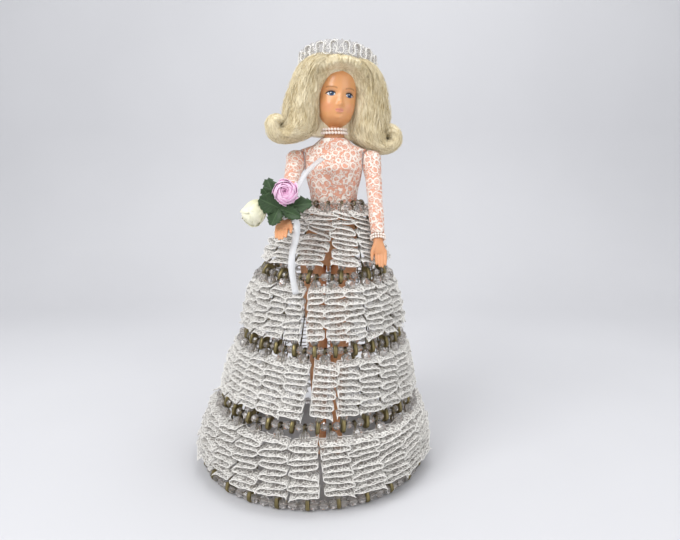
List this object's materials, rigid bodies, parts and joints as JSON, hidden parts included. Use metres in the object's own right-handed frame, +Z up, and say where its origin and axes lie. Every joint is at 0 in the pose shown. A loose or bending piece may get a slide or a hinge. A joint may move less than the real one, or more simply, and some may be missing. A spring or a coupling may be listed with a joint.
{
  "type": "dressed bride doll",
  "caption": "Standing fashion doll dressed as a bride, in a tiered crinoline skirt of safety pins, beads and gathered lace, with a rose bouquet.",
  "frame": {"origin": "on the table, in the middle of the skirt's hem", "axes": "+Z up; the doll faces -Y; +X is towards the doll's left hand"},
  "size_m": [0.1747, 0.1755, 0.2988],
  "materials": {
    "vinyl": "tan soft vinyl, low gloss",
    "lace": "white ring lace over pink",
    "skirt_lace": "sheer white lace strips",
    "pin_brass": "bright stamped brass",
    "clear_bead": "clear faceted",
    "pearl": "cream pearl",
    "hair": "pale blonde fibre",
    "satin": "white satin ribbon",
    "pink_petal": "matt petal cloth",
    "cream_petal": "matt petal cloth",
    "leaf": "waxed green cloth",
    "rod": "plain rod"
  },
  "bodies": {
    "torso": {"torso_front": "vinyl", "torso_back": "vinyl", "neck_post": "vinyl", "hip_rod": "rod", "bodice": "lace", "necklace_lower": "pearl", "necklace_upper": "pearl", "waist_bead_ring": "clear_bead", "first_bead_ring": "clear_bead", "second_bead_ring": "clear_bead", "third_bead_ring": "clear_bead", "hem_bead_ring": "clear_bead", "tier_1_pins": "pin_brass", "tier_1_lace": "skirt_lace", "tier_2_pins": "pin_brass", "tier_2_lace": "skirt_lace", "tier_3_pins": "pin_brass", "tier_3_lace": "skirt_lace", "tier_4_pins": "pin_brass", "tier_4_lace": "skirt_lace"},
    "head": {"head": "vinyl", "hair_crown": "hair", "hair_left": "hair", "hair_right": "hair", "hair_back": "hair", "headpiece_band": "satin", "headpiece_ruffle": "lace"},
    "left_arm": {"arm_left": "vinyl", "sleeve_left": "lace", "cuff_pearls_left_upper": "pearl", "cuff_pearls_left_lower": "pearl"},
    "right_arm": {"arm_right": "vinyl", "sleeve_right": "lace", "cuff_pearls_right_upper": "pearl", "cuff_pearls_right_lower": "pearl", "rose_pink": "pink_petal", "rose_cream": "cream_petal", "leaf_spray": "leaf", "ribbon_tie": "satin", "ribbon_tail_upper": "satin"},
    "ribbon": {"ribbon_tail": "satin"},
    "left_leg": {"leg_left": "vinyl"},
    "right_leg": {"leg_right": "vinyl"}
  },
  "joints": [
    {"name": "neck", "type": "hinge", "parent": "torso", "child": "head", "pos_m": [0.015, 0, 0.246], "axis": [0.0958, 0, 0.9954], "continuous": true},
    {"name": "shoulder_left", "type": "hinge", "parent": "torso", "child": "left_arm", "pos_m": [0.0424, 0, 0.2215], "axis": [-1, 0, 0], "range_deg": [0, 62]},
    {"name": "shoulder_right", "type": "hinge", "parent": "torso", "child": "right_arm", "pos_m": [-0.0124, 0, 0.2215], "axis": [-1, 0, 0], "range_deg": [-6, 38]},
    {"name": "ribbon_sway", "type": "hinge", "parent": "right_arm", "child": "ribbon", "pos_m": [-0.01002, -0.05563, 0.18615], "axis": [-1, 0, 0], "range_deg": [-38, 6]},
    {"name": "hip_left", "type": "hinge", "parent": "torso", "child": "left_leg", "pos_m": [0.0222, 0, 0.146], "axis": [-1, 0, 0], "range_deg": [-20, 20]},
    {"name": "hip_right", "type": "hinge", "parent": "torso", "child": "right_leg", "pos_m": [-0.0002, 0, 0.146], "axis": [-1, 0, 0], "range_deg": [-20, 20]}
  ],
  "couplings": [
    {"joint": "ribbon_sway", "follows": "shoulder_right", "ratio": -1}
  ]
}
